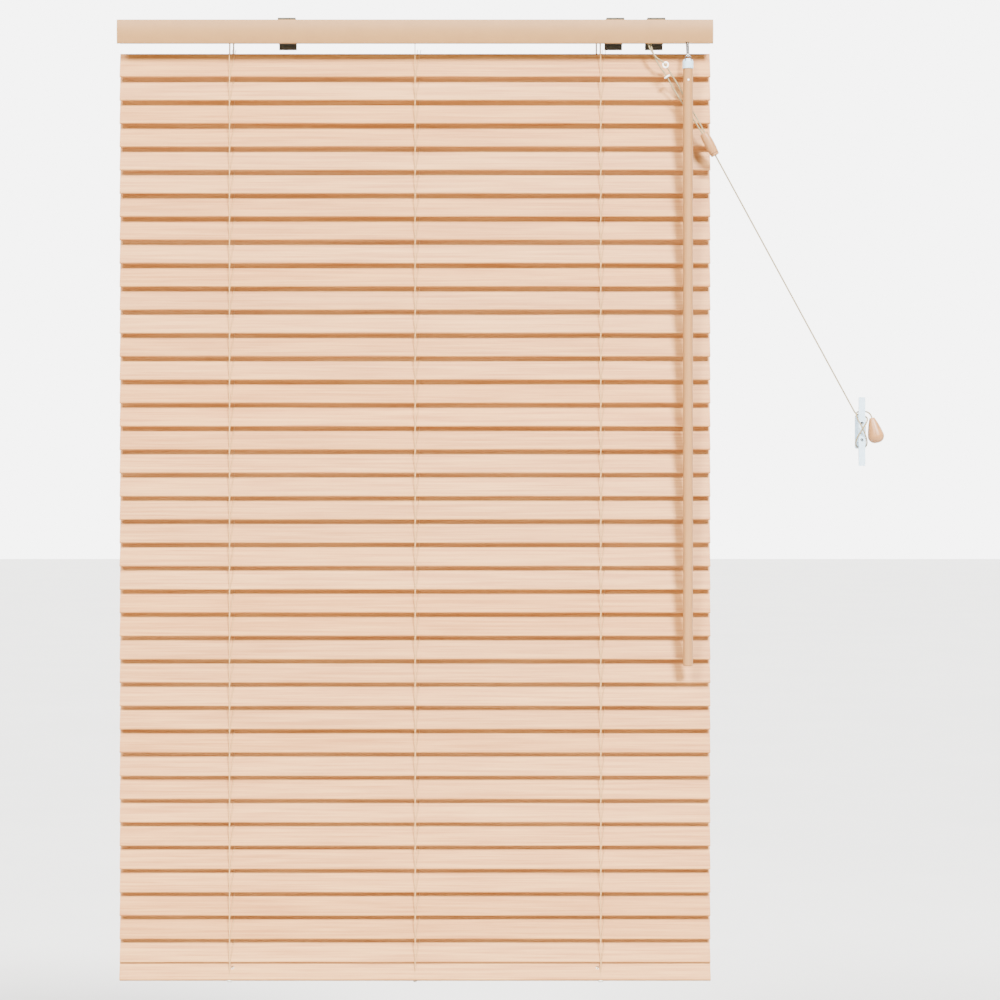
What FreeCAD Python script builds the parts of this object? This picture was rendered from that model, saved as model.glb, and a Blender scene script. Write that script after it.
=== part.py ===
"""Wooden venetian blind with a wand tilter and a corded lift.

Row frame, millimetres: X runs along the head rail from its middle, -Y points into the room,
Y = 0 is the wall behind the brackets, and Z = 0 is the top of the brackets.
Inside this file most pieces are placed in the "ladder frame": y = 0 is the plane of the slats'
turning axes and z = 0 is the lower edge of the head rail's front. row() moves it to the row frame.
The blind is drawn closed, with the slats' room-side edges down.
"""
import FreeCAD
import Part
import Sketcher
import math
import os

Vector = FreeCAD.Vector
Rotation = FreeCAD.Rotation
Placement = FreeCAD.Placement

doc = FreeCAD.newDocument("venetian_blind")
sheet = doc.addObject("Spreadsheet::Sheet", "dims")

DRIVING = {
    # head rail, a folded steel channel with a bowed front that hides its floor
    "rail_length": 600.0, "rail_height": 24.0, "rail_front": 17.6, "rail_back": 17.0,
    "rail_floor": 5.0, "rail_sheet": 0.8, "cap_wall": 1.2,
    # slats and bottom rail
    "slat_length": 597.0, "slat_width": 26.0, "slat_thick": 2.5, "slat_round": 1.1,
    "slat_pitch": 23.54, "first_slat_drop": 19.8, "slat_count": 39.0, "closed_tilt": 72.0,
    "base_width": 25.0, "base_thick": 8.0, "base_drop": 18.8, "base_round": 1.4,
    "cord_hole_radius": 1.7,
    # ladders and lift cords
    "ladder_spread": 187.5, "string_offset": 17.7, "string_radius": 0.4,
    "cord_radius": 0.75, "cord_plane": 14.3, "cord_side_step": 3.0,
    # tilt drive
    "rod_height": 13.0, "rod_corner": 2.3, "rod_left": -204.0, "rod_right": 287.0,
    "gear_teeth": 12.0, "gear_outer": 4.7, "gear_root": 3.5, "gear_face": 4.0,
    "drum_radius": 6.0, "drum_flange": 7.0, "drum_journal": 3.6, "fit_gap": 0.06,
    "tilter_place": 274.1, "stem_lean": 26.0, "stem_radius": 1.6, "worm_root": 2.2,
    "worm_outer": 3.3, "eye_drop": 12.5, "eye_out": 20.5,
    # wand
    "wand_radius": 5.0, "wand_length": 600.0, "wand_top": -26.2, "wand_pivot": -17.8,
    "wire_radius": 0.45, "wand_cap_radius": 5.45,
    # cord lock
    "lock_place": 235.85, "lock_width": 20.0,
    # brackets
    "bracket_width": 18.0, "bracket_sheet": 1.2, "bracket_rise": 2.6, "screw_radius": 2.25,
    # cleat, joiner and tassel
    "cleat_place": 453.4, "cleat_drop": 390.0, "cleat_length": 69.5, "cleat_width": 6.4,
    "cleat_base_width": 10.9, "cleat_base_length": 34.3, "cleat_screw_step": 17.0,
    "cleat_screw_radius": 1.75, "joiner_radius": 5.0, "joiner_length": 25.0,
    "tassel_length": 26.0, "tassel_radius": 8.0,
}
BRACKET_PLACES = (-129.3, 201.9, 243.2)

for number, (alias, value) in enumerate(DRIVING.items(), start=1):
    sheet.set(f"A{number}", alias)
    sheet.set(f"B{number}", str(value))
    sheet.setAlias(f"B{number}", alias)
doc.recompute()


def dim(alias):
    """The number held by the sheet's cell of that name."""
    return float(sheet.get(alias))


WALL = dim("rail_back") + dim("bracket_sheet")
TOP = dim("rail_height") + dim("bracket_rise")
LADDERS = (-dim("ladder_spread"), 0.0, dim("ladder_spread"))
TILT = math.radians(dim("closed_tilt"))
SUBPARTS = []


def row(x, y, z):
    """A ladder-frame point in the row frame."""
    return Vector(x, y - WALL, z - TOP)


def turned_to(direction, base):
    """A placement that takes local +Z to direction and the local origin to base."""
    return Placement(base, Rotation(Vector(0, 0, 1), Vector(direction)))


def keep(label, obj):
    """Lists an object as a sub-part; its label names its file."""
    obj.Label = label
    SUBPARTS.append(obj)
    return obj


def box(name, base, size):
    """A Part::Box from its lowest corner, with sizes bound to the sheet; base is in the row frame."""
    made = doc.addObject("Part::Box", name)
    for side, rule in zip(("Length", "Width", "Height"), size):
        made.setExpression(side, str(rule))
    made.Placement.Base = base
    return made


def cylinder(name, base, radius, height, direction=(0, 0, 1)):
    """A Part::Cylinder bound to the sheet, from base along direction."""
    made = doc.addObject("Part::Cylinder", name)
    made.setExpression("Radius", str(radius))
    made.setExpression("Height", str(height))
    made.Placement = turned_to(direction, base)
    return made


def fused(name, *pieces):
    made = doc.addObject("Part::MultiFuse", name)
    made.Shapes = list(pieces)
    return made


def cut(name, base, *tools):
    made = doc.addObject("Part::Cut", name)
    made.Base = base
    made.Tool = tools[0] if len(tools) == 1 else fused(name + "_tools", *tools)
    return made


def group(name, pieces):
    """Separate solids of one sub-part."""
    made = doc.addObject("Part::Compound", name)
    made.Links = list(pieces)
    return made


def shaped(name, shape):
    """A piece drawn with Part's own functions."""
    made = doc.addObject("Part::Feature", name)
    made.Shape = shape
    return made


def rounded_bar(label, width, thick, corner, length):
    """A PartDesign bar along X with a rounded rectangular section in the YZ plane."""
    body = doc.addObject("PartDesign::Body", label)
    sketch = body.newObject("Sketcher::SketchObject", label + "_section")
    plane = next(f for f in body.Origin.OriginFeatures if f.Role == "YZ_Plane")
    sketch.AttachmentSupport = [(plane, "")]
    sketch.MapMode = "FlatFace"
    half_width, half_thick, bend = dim(width) / 2, dim(thick) / 2, dim(corner)
    flat, rise = half_width - bend, half_thick - bend
    corners = [(flat, rise, 0), (-flat, rise, 90), (-flat, -rise, 180), (flat, -rise, 270)]
    for across, up, start in corners:
        circle = Part.Circle(Vector(across, up, 0), Vector(0, 0, 1), bend)
        first = math.radians(start)
        sketch.addGeometry(Part.ArcOfCircle(circle, first, first + math.pi / 2))
    for place in range(4):
        this, following = sketch.Geometry[place], sketch.Geometry[(place + 1) % 4]
        sketch.addGeometry(Part.LineSegment(this.EndPoint, following.StartPoint))
    rules = []
    for place in range(4):
        rules.append(Sketcher.Constraint("Tangent", place, 2, 4 + place, 1))
        rules.append(Sketcher.Constraint("Tangent", 4 + place, 2, (place + 1) % 4, 1))
    rules += [Sketcher.Constraint("Equal", 0, place) for place in (1, 2, 3)]
    rules.append(Sketcher.Constraint("Horizontal", 4))
    rules.append(Sketcher.Constraint("Vertical", 5))
    rules.append(Sketcher.Constraint("Symmetric", 0, 3, 2, 3, -1, 1))
    sketch.addConstraint(rules)
    bend_rule = sketch.addConstraint(Sketcher.Constraint("Radius", 0, bend))
    sketch.setExpression(f"Constraints[{bend_rule}]", f"dims.{corner}")
    wide_rule = sketch.addConstraint(Sketcher.Constraint("DistanceX", 1, 3, 0, 3, 2 * flat))
    sketch.setExpression(f"Constraints[{wide_rule}]", f"dims.{width} - 2 * dims.{corner}")
    high_rule = sketch.addConstraint(Sketcher.Constraint("DistanceY", 3, 3, 0, 3, 2 * rise))
    sketch.setExpression(f"Constraints[{high_rule}]", f"dims.{thick} - 2 * dims.{corner}")
    pad = body.newObject("PartDesign::Pad", label + "_pad")
    pad.Profile = sketch
    pad.Midplane = True
    pad.setExpression("Length", f"dims.{length}")
    return body


def leaning(z):
    """The placement of a slat or the bottom rail: closed, its room-side edge down."""
    return Placement(row(0, 0, z), Rotation(Vector(1, 0, 0), dim("closed_tilt")))


def bent_line(points, bends):
    """Edges of a line through points, its corners rounded by bends."""
    edges, last = [], points[0]
    for before, corner, after, bend in zip(points, points[1:], points[2:], bends):
        arriving = (corner - before).normalize()
        leaving = (after - corner).normalize()
        half_turn = arriving.getAngle(leaving) / 2
        reach = bend * math.tan(half_turn)
        enter, leave = corner - arriving * reach, corner + leaving * reach
        inward = (leaving - arriving).normalize()
        middle = corner + inward * (bend / math.cos(half_turn) - bend)
        edges += [Part.LineSegment(last, enter).toShape(), Part.Arc(enter, middle, leave).toShape()]
        last = leave
    return edges + [Part.LineSegment(last, points[-1]).toShape()]


def folded_strip(points, bends, thickness, start, length):
    """A sheet folded square: its outer line runs through points in the YZ plane, rounded by bends,
    and the sheet lies inside the folds. It is extruded along X."""
    outer = [Vector(start, *point) for point in points]
    ways = [(after - before).normalize() for before, after in zip(outer, outer[1:])]
    inner = [outer[0] + ways[1] * thickness]
    for place in range(1, len(outer) - 1):
        inner.append(outer[place] + (ways[place] - ways[place - 1]) * thickness)
    inner.append(outer[-1] - ways[-2] * thickness)
    edges = bent_line(outer, bends) + bent_line(inner, [bend - thickness for bend in bends])
    edges.append(Part.LineSegment(outer[0], inner[0]).toShape())
    edges.append(Part.LineSegment(outer[-1], inner[-1]).toShape())
    return Part.Face(Part.Wire(Part.__sortEdges__(edges))).extrude(Vector(length, 0, 0))


def revolved(outline):
    """A solid of revolution about Z: outline is a list of edges from axis to axis in the XZ plane."""
    ends = outline[-1].Vertexes[-1].Point, outline[0].Vertexes[0].Point
    wire = Part.Wire(outline + [Part.LineSegment(*ends).toShape()])
    return Part.Face(wire).revolve(Vector(0, 0, 0), Vector(0, 0, 1), 360)


def tube(name, route, radius, guide=None):
    """A round cord along route: straight runs joined by tangent arcs. Each arc's radius is 0.45 of
    its shorter run, divided by the tangent of half the turn, or that of the guide it goes round."""
    points = [row(*point) for point in route]
    edges, last, radii, length = [], points[0], [], 0.0
    for before, corner, after in zip(points, points[1:], points[2:]):
        arriving, leaving = corner - before, after - corner
        half_turn = arriving.getAngle(leaving) / 2
        reach = 0.45 * min(arriving.Length, leaving.Length)
        if guide:
            reach = min(reach, guide * math.tan(half_turn))
        arriving.normalize()
        leaving.normalize()
        bend = reach / math.tan(half_turn)
        enter, leave = corner - arriving * reach, corner + leaving * reach
        inward = (leaving - arriving).normalize()
        middle = corner + inward * (bend / math.cos(half_turn) - bend)
        edges += [Part.LineSegment(last, enter).toShape(), Part.Arc(enter, middle, leave).toShape()]
        length += (enter - last).Length + 2 * half_turn * bend
        radii.append(bend)
        last = leave
    edges.append(Part.LineSegment(last, points[-1]).toShape())
    length += (points[-1] - last).Length
    ring = Part.Wire([Part.makeCircle(radius, points[0], points[1] - points[0])])
    solid = Part.Wire(edges).makePipeShell([ring], True, False)
    volume = math.pi * radius ** 2 * length
    if abs(solid.Volume / volume - 1) > 0.01:
        raise RuntimeError(f"{name}: volume {solid.Volume:.1f} is not {volume:.1f}")
    print(name, f"length {length:.1f}", "radii", [round(bend, 1) for bend in radii])
    return shaped(name, solid)


# ---------------------------------------------------------------- slats and bottom rail
slat_names = []
for number in range(int(dim("slat_count"))):
    slat = rounded_bar(f"slat_{number + 1:02d}", "slat_width", "slat_thick", "slat_round", "slat_length")
    slat.Placement = leaning(-dim("first_slat_drop") - number * dim("slat_pitch"))
    keep(f"slat_{number + 1:02d}", slat)

LAST_SLAT = -dim("first_slat_drop") - (dim("slat_count") - 1) * dim("slat_pitch")
BASE_AXIS = LAST_SLAT - dim("base_drop")


def make_bottom_rail():
    """A thicker wooden bar with a hole through its middle for the end of each lift cord."""
    bar = rounded_bar("bottom_rail_bar", "base_width", "base_thick", "base_round", "slat_length")
    bar.Placement = leaning(BASE_AXIS)
    square_on = leaning(BASE_AXIS).Rotation.multVec(Vector(0, 0, 1))
    holes = []
    for side in (-1, 1):
        centre = row(side * (dim("ladder_spread") - dim("cord_side_step")), 0, BASE_AXIS)
        below = centre - square_on * dim("base_thick")
        holes.append(cylinder("base_hole", below, "dims.cord_hole_radius", "2 * dims.base_thick", square_on))
    keep("bottom_rail", cut("bottom_rail", bar, *holes))


# ---------------------------------------------------------------- head rail, end caps, brackets
RAIL_SPAN = dim("rail_length") - 2 * dim("cap_wall")


def rail_front_y(z):
    """The bowed outer front of the rail: a shallow arc that bulges in its middle."""
    middle = dim("rail_height") / 2
    bulge = 1.4
    return -dim("rail_front") + bulge * ((z - middle) / middle) ** 2


def front_arc(x, inset):
    """Part of the rail's front as an arc, from the bottom up, inset from the outer face."""
    low, high = 0.9, dim("rail_height") - 0.9
    middle = (low + high) / 2
    return [row(x, rail_front_y(z) + inset, z) for z in (low, middle, high)]


def make_head_rail():
    """One folded sheet: bowed front, curled lower and upper lips, a floor and a back wall."""
    start = -RAIL_SPAN / 2
    skin = dim("rail_sheet")
    height, floor, back = dim("rail_height"), dim("rail_floor"), dim("rail_back")
    low, mid, high = front_arc(start, 0)
    low_in, mid_in, high_in = front_arc(start, skin)
    lip = 2.4
    curl_low = row(start, low.y + WALL + lip, 0)
    curl_high = row(start, high.y + WALL + lip, height)
    corner_low = row(start, low.y + WALL + 0.9, 0)
    corner_high = row(start, high.y + WALL + 0.9, height)
    turn_low = row(start, low.y + WALL + 0.26, 0.26)
    turn_high = row(start, high.y + WALL + 0.26, height - 0.26)
    edges = [
        Part.Arc(low, mid, high).toShape(),
        Part.Arc(high, turn_high, corner_high).toShape(),
        Part.LineSegment(corner_high, curl_high).toShape(),
        Part.LineSegment(curl_high, curl_high - Vector(0, 0, skin)).toShape(),
        Part.LineSegment(curl_high - Vector(0, 0, skin), high_in + Vector(0, 0, 0.1)).toShape(),
        Part.LineSegment(high_in + Vector(0, 0, 0.1), high_in).toShape(),
        Part.Arc(high_in, mid_in, low_in).toShape(),
        Part.LineSegment(low_in, low_in - Vector(0, 0, 0.1)).toShape(),
        Part.LineSegment(low_in - Vector(0, 0, 0.1), curl_low + Vector(0, 0, skin)).toShape(),
        Part.LineSegment(curl_low + Vector(0, 0, skin), curl_low).toShape(),
        Part.LineSegment(curl_low, corner_low).toShape(),
        Part.Arc(corner_low, turn_low, low).toShape(),
    ]
    front = Part.Face(Part.Wire(edges)).extrude(Vector(RAIL_SPAN, 0, 0))
    lip_back = 3.0
    channel = folded_strip(
        [(rail_front_y(floor) + 0.4 - WALL, floor - TOP), (back - WALL, floor - TOP),
         (back - WALL, height - TOP), (back - lip_back - WALL, height - TOP)],
        (1.2, 1.2), skin, start, RAIL_SPAN)
    rail = shaped("rail_sheet", front.fuse(channel).removeSplitter())
    openings = []
    for place in LADDERS:
        openings.append(box("ladder_opening", row(place - 5, -9, floor - 2), (10, 18, 6)))
    for side in (-1, 1):
        hole = row(side * (dim("ladder_spread") - dim("cord_side_step")), dim("cord_plane"), floor - 2)
        openings.append(cylinder("cord_opening", hole, 1.1, 6))
    openings.append(box("lock_opening", row(dim("lock_place") - 6, -14, floor - 2), (12, 8, 6)))
    openings.append(box("stem_opening", row(dim("tilter_place") - 4.5, -15.4, floor - 2), (9, 9, 6)))
    openings.append(box("stem_notch", row(dim("tilter_place") - 2.6, -16.5, -1), (5.2, 4, 2.4)))
    keep("head_rail", cut("head_rail", rail, *openings))


def make_end_caps():
    """Two moulded plates that close the rail's ends, each with a short plug inside the channel."""
    caps = []
    height, floor, back = dim("rail_height"), dim("rail_floor"), dim("rail_back")
    for side in (-1, 1):
        x = side * RAIL_SPAN / 2
        low, mid, high = front_arc(x, 0)
        far = back - WALL
        outline = [
            Part.Arc(low, mid, high).toShape(),
            Part.LineSegment(high, Vector(x, high.y + 0.9, height - TOP)).toShape(),
            Part.LineSegment(Vector(x, high.y + 0.9, height - TOP), Vector(x, far - 1, height - TOP)).toShape(),
            Part.LineSegment(Vector(x, far - 1, height - TOP), Vector(x, far, height - 1 - TOP)).toShape(),
            Part.LineSegment(Vector(x, far, height - 1 - TOP), Vector(x, far, floor + 1 - TOP)).toShape(),
            Part.LineSegment(Vector(x, far, floor + 1 - TOP), Vector(x, far - 1, floor - TOP)).toShape(),
            Part.LineSegment(Vector(x, far - 1, floor - TOP), Vector(x, low.y + 6, floor - TOP)).toShape(),
            Part.LineSegment(Vector(x, low.y + 6, floor - TOP), Vector(x, low.y + 3, -TOP)).toShape(),
            Part.LineSegment(Vector(x, low.y + 3, -TOP), Vector(x, low.y + 0.9, -TOP)).toShape(),
            Part.LineSegment(Vector(x, low.y + 0.9, -TOP), low).toShape(),
        ]
        plate = Part.Face(Part.Wire(outline)).extrude(Vector(side * dim("cap_wall"), 0, 0))
        plug_reach = 9.0
        near = min(x, x - side * plug_reach)
        plug = Part.makeBox(plug_reach, 22, 14, row(near, -9, floor + 1.2))
        hollow = Part.makeBox(plug_reach, 19, 11, row(near - side * 1.5, -7.5, floor + 2.7))
        caps.append(shaped("end_cap", plate.fuse(plug.cut(hollow)).removeSplitter()))
    keep("end_caps", group("end_caps", caps))


def make_brackets():
    """Spring steel clips: a hook inside the rail's front lip, a top plate, a back plate with the wall
    hole, and a foot below the rail's floor."""
    sheet_steel, width = dim("bracket_sheet"), dim("bracket_width")
    height, floor = dim("rail_height"), dim("rail_floor")
    hook_y = rail_front_y(height) + 2.9
    brackets = []
    for place in BRACKET_PLACES:
        strip = folded_strip(
            [(0.0, -1.2 - TOP), (0.0, 0.0), (hook_y - WALL, 0.0), (hook_y - WALL, -4.6)],
            (1.6, 1.6), sheet_steel, place - width / 2, width)
        foot = Part.makeBox(width, 6.0, 1.0, row(place - width / 2, WALL - 6.4, floor - 1.05))
        rib = Part.makeBox(width - 2, 0.8, 1.4, row(place - width / 2 + 1, WALL - 2.0, floor - 3.6))
        solid = strip.fuse([foot, rib]).removeSplitter()
        wall_hole = Part.makeCylinder(dim("screw_radius"), 6, row(place, WALL - 4, 14.5), Vector(0, 1, 0))
        top_hole = Part.makeCylinder(dim("screw_radius"), 6, row(place, 2, TOP - 3.0), Vector(0, 0, 1))
        brackets.append(shaped("bracket", solid.cut(wall_hole).cut(top_hole)))
    keep("mounting_brackets", group("mounting_brackets", brackets))


# ---------------------------------------------------------------- tilt drive
ROD = (0.0, dim("rod_height"))
LEAN = math.radians(dim("stem_lean"))
STEM_DOWN = Vector(0, -math.sin(LEAN), -math.cos(LEAN))
MESH_WAY = Vector(0, -math.cos(LEAN), math.sin(LEAN))
EYE = row(dim("tilter_place"), -dim("eye_out"), -dim("eye_drop"))
ROD_AT_TILTER = row(dim("tilter_place"), *ROD)
CENTRES = (EYE - ROD_AT_TILTER).dot(MESH_WAY)
MESH_POINT = ROD_AT_TILTER + MESH_WAY * CENTRES
GEAR_PITCH_RADIUS = CENTRES - (dim("worm_root") + dim("worm_outer")) / 2 - 0.1
THREAD_STEP = 2 * math.pi * GEAR_PITCH_RADIUS / dim("gear_teeth")


def make_rod():
    """Hexagonal tilt rod, and the tilter's gear pressed on it as a second solid."""
    rod = doc.addObject("Part::Prism", "rod_bar")
    rod.Polygon = 6
    rod.setExpression("Circumradius", "dims.rod_corner")
    rod.setExpression("Height", "dims.rod_right - dims.rod_left")
    rod.Placement = turned_to((1, 0, 0), row(dim("rod_left"), *ROD))
    teeth = int(dim("gear_teeth"))
    outer, root, face = dim("gear_outer"), dim("gear_root"), dim("gear_face")
    blank = Part.makeCylinder(root, face)
    half_tip, half_root = 0.28, 0.55
    tooth_points = [Vector(root - 0.4, half_root, 0), Vector(root, half_root, 0), Vector(outer, half_tip, 0),
                    Vector(outer, -half_tip, 0), Vector(root, -half_root, 0), Vector(root - 0.4, -half_root, 0)]
    tooth = Part.Face(Part.makePolygon(tooth_points + tooth_points[:1])).extrude(Vector(0, 0, face))
    wheel = blank
    for number in range(teeth):
        turned = tooth.copy()
        turned.rotate(Vector(0, 0, 0), Vector(0, 0, 1), (number + 0.5) * 360.0 / teeth)
        wheel = wheel.fuse(turned)
    collars = Part.makeCylinder(dim("drum_journal"), face + 10, Vector(0, 0, -5))
    wheel = wheel.fuse(collars).removeSplitter()
    bore = Part.makeCylinder(dim("rod_corner") + 0.03, face + 12, Vector(0, 0, -6))
    wheel = shaped("gear_wheel", wheel.cut(bore))
    along = Vector(1, 0, 0)
    radial = MESH_WAY
    frame = FreeCAD.Matrix(radial.x, along.cross(radial).x, along.x, 0, radial.y, along.cross(radial).y,
                           along.y, 0, radial.z, along.cross(radial).z, along.z, 0, 0, 0, 0, 1)
    wheel.Placement = Placement(ROD_AT_TILTER - along * (face / 2), Rotation(frame))
    keep("tilt_rod", group("tilt_rod", [rod, wheel]))


# The thread starts at this angle so that a tooth gap of the gear faces the thread's crest.
THREAD_PHASE = 240.0


def make_worm():
    """The tilter's worm, its leaning stem and the eye that carries the wand's bail."""
    reach = 7.0
    root, outer, stem = dim("worm_root"), dim("worm_outer"), dim("stem_radius")
    top = MESH_POINT - STEM_DOWN * reach
    eye_distance = (EYE - top).dot(STEM_DOWN)
    thread_length = 2 * (reach - 2.2)
    core = Part.makeCylinder(root, 2 * reach)
    pivot = Part.makeCylinder(1.4, 2.0, Vector(0, 0, -2.0))
    stem_bar = Part.makeCylinder(stem, eye_distance - 1.2)
    first = reach - thread_length / 2
    helix = Part.makeHelix(THREAD_STEP, thread_length, root)
    helix.translate(Vector(0, 0, first))
    profile = Part.makePolygon([
        Vector(root - 0.3, 0, first - 0.45), Vector(outer, 0, first - 0.2),
        Vector(outer, 0, first + 0.2), Vector(root - 0.3, 0, first + 0.45),
        Vector(root - 0.3, 0, first - 0.45)])
    thread = Part.Wire(helix).makePipeShell([profile], True, True)
    ring = Part.makeCylinder(1.9, 1.0, Vector(-0.5, 0, eye_distance), Vector(1, 0, 0))
    hole = Part.makeCylinder(1.0, 3.0, Vector(-1.5, 0, eye_distance), Vector(1, 0, 0))
    solid = core.fuse([pivot, stem_bar, ring]).removeSplitter().cut(hole)
    turn = MESH_WAY * -1
    spun = Part.makeCompound([thread])
    spun.rotate(Vector(0, 0, 0), Vector(0, 0, 1), THREAD_PHASE)
    solid = solid.fuse(spun.Solids[0])
    worm = shaped("tilter_worm", solid)
    side = STEM_DOWN.cross(turn)
    frame = FreeCAD.Matrix(turn.x, side.x, STEM_DOWN.x, 0, turn.y, side.y, STEM_DOWN.y, 0,
                           turn.z, side.z, STEM_DOWN.z, 0, 0, 0, 0, 1)
    quarter = Rotation(Vector(0, 0, 1), 90)
    worm.Placement = Placement(top, Rotation(frame).multiply(quarter))
    keep("tilter_worm", worm)


def make_tilter_housing():
    """The tilter's moulded case: two cheeks that carry the gear's collars and a sleeve for the worm."""
    x, gap = dim("tilter_place"), dim("fit_gap")
    floor, skin = dim("rail_floor"), dim("rail_sheet")
    outside = Part.makeBox(18, 22, 17.0, row(x - 9, -12.5, floor + skin + 0.05))
    inside = Part.makeBox(13, 12.5, 13.2, row(x - 6.5, -6.0, floor + skin + 1.4))
    bearing = Part.makeCylinder(dim("drum_journal") + gap, 30, row(x - 15, *ROD), Vector(1, 0, 0))
    room = Part.makeCylinder(dim("worm_outer") + 0.5, 14.6, MESH_POINT - STEM_DOWN * 7.1, STEM_DOWN)
    sleeve = Part.makeCylinder(dim("stem_radius") + gap, 60, MESH_POINT - STEM_DOWN * 7, STEM_DOWN)
    pivot = Part.makeCylinder(1.4 + gap, 3.0, MESH_POINT - STEM_DOWN * 9.1, STEM_DOWN)
    solid = outside.cut(inside).cut(bearing).cut(room).cut(sleeve).cut(pivot)
    keep("tilter_housing", shaped("tilter_housing", solid))


def make_drums_and_cradles():
    """Ladder drums pressed on the rod, and the cradles that carry their journals."""
    drums, cradles = [], []
    gap, journal = dim("fit_gap"), dim("drum_journal")
    floor, skin = dim("rail_floor"), dim("rail_sheet")
    for place in LADDERS:
        barrel = Part.makeCylinder(dim("drum_radius"), 8.0, row(place - 4.0, *ROD), Vector(1, 0, 0))
        flange_left = Part.makeCylinder(dim("drum_flange"), 1.0, row(place - 5.0, *ROD), Vector(1, 0, 0))
        flange_right = Part.makeCylinder(dim("drum_flange"), 1.0, row(place + 4.0, *ROD), Vector(1, 0, 0))
        axle = Part.makeCylinder(journal, 18.0, row(place - 9.0, *ROD), Vector(1, 0, 0))
        bore = Part.makeCylinder(dim("rod_corner") + 0.03, 20, row(place - 10, *ROD), Vector(1, 0, 0))
        drum = barrel.fuse([flange_left, flange_right, axle]).removeSplitter().cut(bore)
        drums.append(shaped("ladder_drum", drum))
        base = Part.makeBox(24, 23, 1.2, row(place - 12, -11.5, floor + skin + 0.02))
        cheek_left = Part.makeBox(2.2, 13, 13.4, row(place - 8.2, -6.5, floor + skin + 0.02))
        cheek_right = Part.makeBox(2.2, 13, 13.4, row(place + 6.0, -6.5, floor + skin + 0.02))
        seat = Part.makeCylinder(journal + gap, 40, row(place - 20, *ROD), Vector(1, 0, 0))
        entry = Part.makeBox(40, 4.6, 12, row(place - 20, -2.3, ROD[1]))
        slot = Part.makeBox(11.2, 17, 6, row(place - 5.6, -8.5, floor - 2))
        cradle = base.fuse([cheek_left, cheek_right]).cut(seat).cut(entry).cut(slot)
        cradles.append(shaped("ladder_cradle", cradle.removeSplitter()))
    keep("ladder_drums", group("ladder_drums", drums))
    keep("ladder_cradles", group("ladder_cradles", cradles))


# ---------------------------------------------------------------- cord lock and lift cords
STRAND_STARTS = (234.5, 237.2)
LOCK_CORD_Y = -11.6
LOCK_MOUTH = 3.0
ROLLER = (-8.0, 11.5)
ROLLER_RADIUS = 2.2
ROLLER_PIN = 0.9
ROLLER_TRAVEL = 3.0


def make_cord_lock():
    """The lock's body with a slot for the cords and slanting slots for the roller's pins."""
    x, half = dim("lock_place"), dim("lock_width") / 2
    floor, skin = dim("rail_floor"), dim("rail_sheet")
    block = Part.makeBox(2 * half, 12.6, 10.6, row(x - half, -16.0 + 0.2, floor + skin + 0.02))
    mouth = Part.makeBox(11.4, 7.4, 4.0, row(x - 5.7, -13.7, LOCK_MOUTH))
    slot = Part.makeBox(9.0, 9.2, 24, row(x - 4.5, -13.2, LOCK_MOUTH - 2))
    back = Part.makeBox(2 * half, 4.0, 3.0, row(x - half, -3.2, floor + skin + 0.02))
    up_way = Vector(0, 0.5, math.sqrt(0.75))
    centre = row(x, *ROLLER)
    pin_room = Part.makeCylinder(ROLLER_PIN + 0.05, 13.4, centre - Vector(6.7, 0, 0), Vector(1, 0, 0))
    rooms = [pin_room.copy() for _ in range(7)]
    for step, room in enumerate(rooms):
        room.translate(up_way * (ROLLER_TRAVEL * step / 6))
    solid = block.fuse([mouth, back]).removeSplitter().cut(slot)
    for room in rooms:
        solid = solid.cut(room)
    keep("cord_lock_body", shaped("cord_lock_body", solid))
    roller = Part.makeCylinder(ROLLER_RADIUS, 8.4, centre - Vector(4.2, 0, 0), Vector(1, 0, 0))
    pins = Part.makeCylinder(ROLLER_PIN, 12.6, centre - Vector(6.3, 0, 0), Vector(1, 0, 0))
    keep("cord_lock_roller", shaped("cord_lock_roller", roller.fuse(pins).removeSplitter()))


def make_lift_cords():
    """Two cords: up the back of the slats, along the rail and down through the lock."""
    plane, bottom = dim("cord_plane"), BASE_AXIS + 3.0
    cords = []
    for side, over, start in ((-1, 20.0, STRAND_STARTS[0]), (1, 17.4, STRAND_STARTS[1])):
        x = side * (dim("ladder_spread") - dim("cord_side_step"))
        route = [(x, plane, bottom), (x, plane, over), (start - 24 + 2 * side, plane, over),
                 (start, LOCK_CORD_Y, over + 0.3), (start, LOCK_CORD_Y, LOCK_MOUTH)]
        cords.append(tube(f"lift_cord_{len(cords) + 1}", route, dim("cord_radius"), 4.0))
    keep("lift_cords", group("lift_cords", cords))


# ---------------------------------------------------------------- ladder strings
STRING_TRAVEL = 2 * dim("string_offset") * math.sin(TILT)
EDGE_Y = dim("string_offset") * math.cos(TILT)
BACK_TOP = 4.4
FRONT_TOP = BACK_TOP - STRING_TRAVEL
FRONT_END = BASE_AXIS - 2.0
BACK_END = FRONT_END + STRING_TRAVEL


def make_strings():
    """The ladders' upright strings, one set at the slats' room-side edges and one behind."""
    radius = "dims.string_radius"
    for label, y, top, end in (("ladder_front_strings", -EDGE_Y, FRONT_TOP, FRONT_END),
                               ("ladder_rear_strings", EDGE_Y, BACK_TOP, BACK_END)):
        strings = [cylinder(label + "_line", row(x, y, end), radius, top - end) for x in LADDERS]
        keep(label, group(label, strings))


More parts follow.
